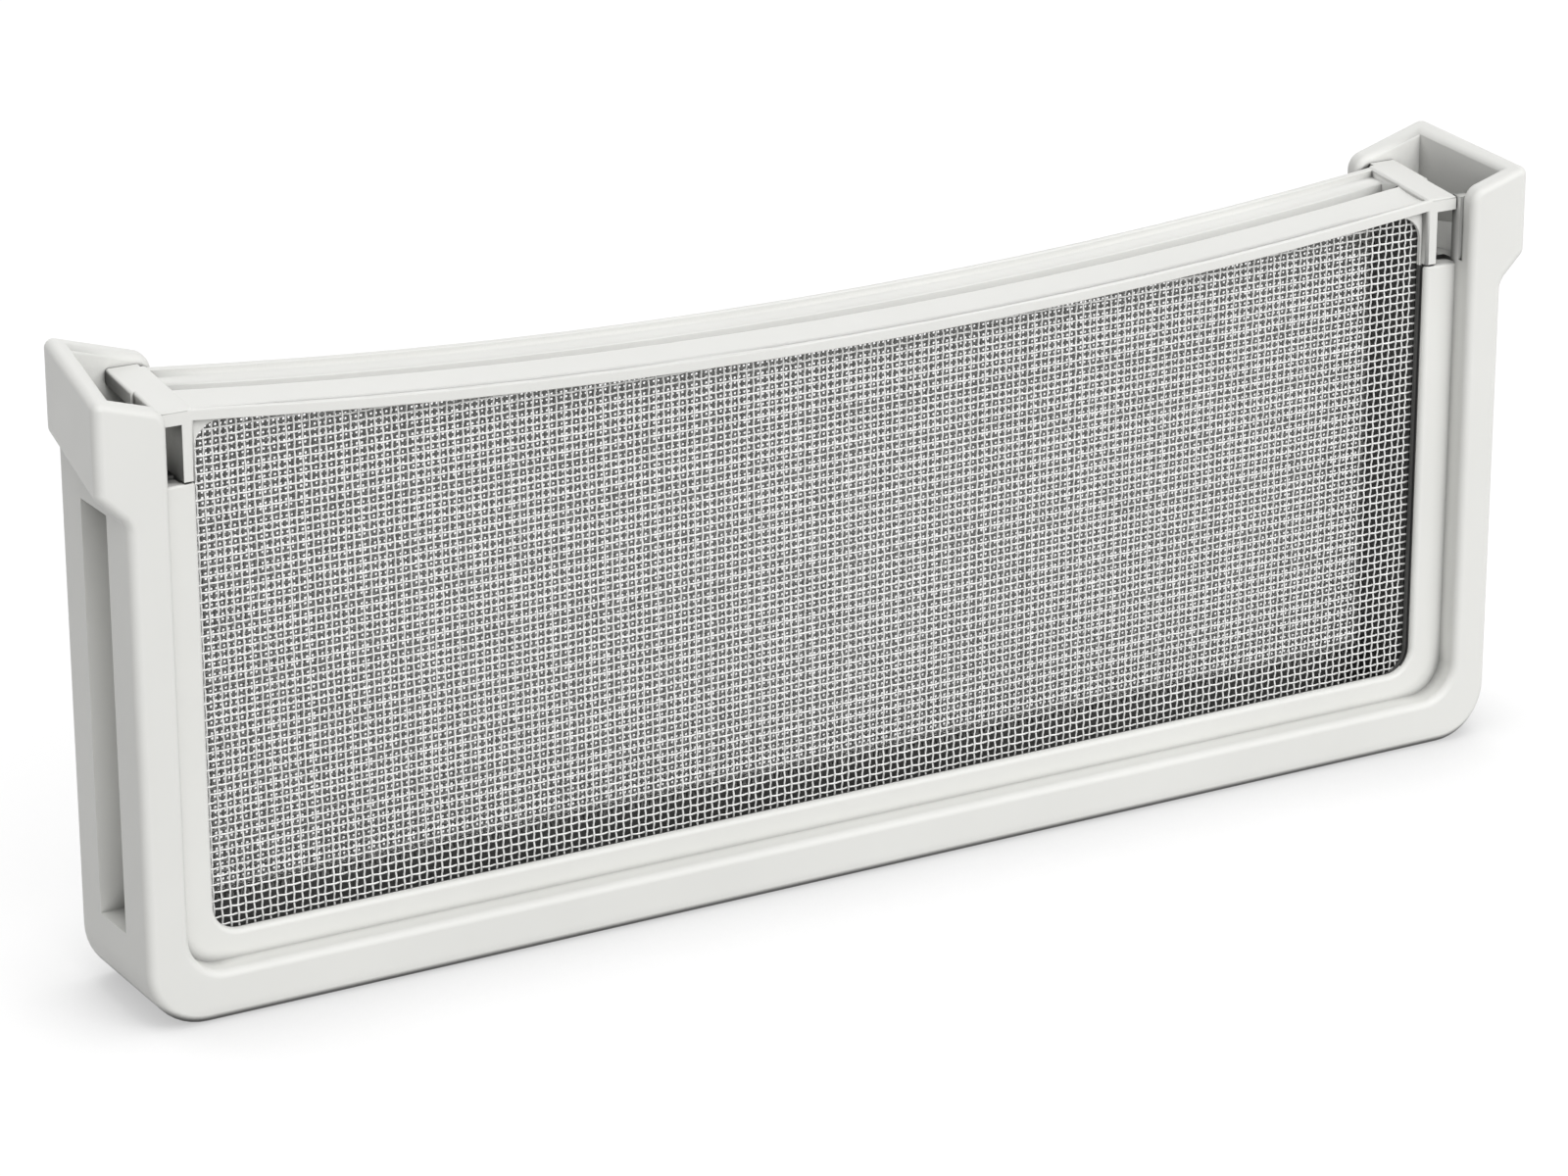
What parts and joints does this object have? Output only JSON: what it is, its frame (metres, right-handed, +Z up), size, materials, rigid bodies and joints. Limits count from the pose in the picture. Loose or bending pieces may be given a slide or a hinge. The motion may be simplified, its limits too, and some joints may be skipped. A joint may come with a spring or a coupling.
{
  "type": "tumble dryer lint filter",
  "caption": "Upright lint filter for a tumble dryer: a U-shaped moulded carrier with side guide channels and hollow ears, holding a lift-out cassette with front and rear woven meshes.",
  "frame": {"origin": "centre of the bounding box's bottom face, under the middle of the carrier's flat base", "axes": "+X to the right along the width, +Y from the front face to the rear face, +Z up, the way the cassette lifts out"},
  "size_m": [0.3008, 0.03, 0.1198],
  "materials": {
    "frame_plastic": "satin moulded, off-white with a faint fine grain",
    "mesh_wire": "fine woven wire, dull silver grey"
  },
  "bodies": {
    "carrier": {"carrier_frame": "frame_plastic"},
    "cassette": {"front_screen_frame": "frame_plastic", "rear_screen_frame": "frame_plastic", "front_mesh": "mesh_wire", "rear_mesh": "mesh_wire"}
  },
  "joints": [
    {"name": "cassette_lift", "type": "slide", "parent": "carrier", "child": "cassette", "axis": [0, 0, 1], "range_m": [0, 0.125]}
  ]
}
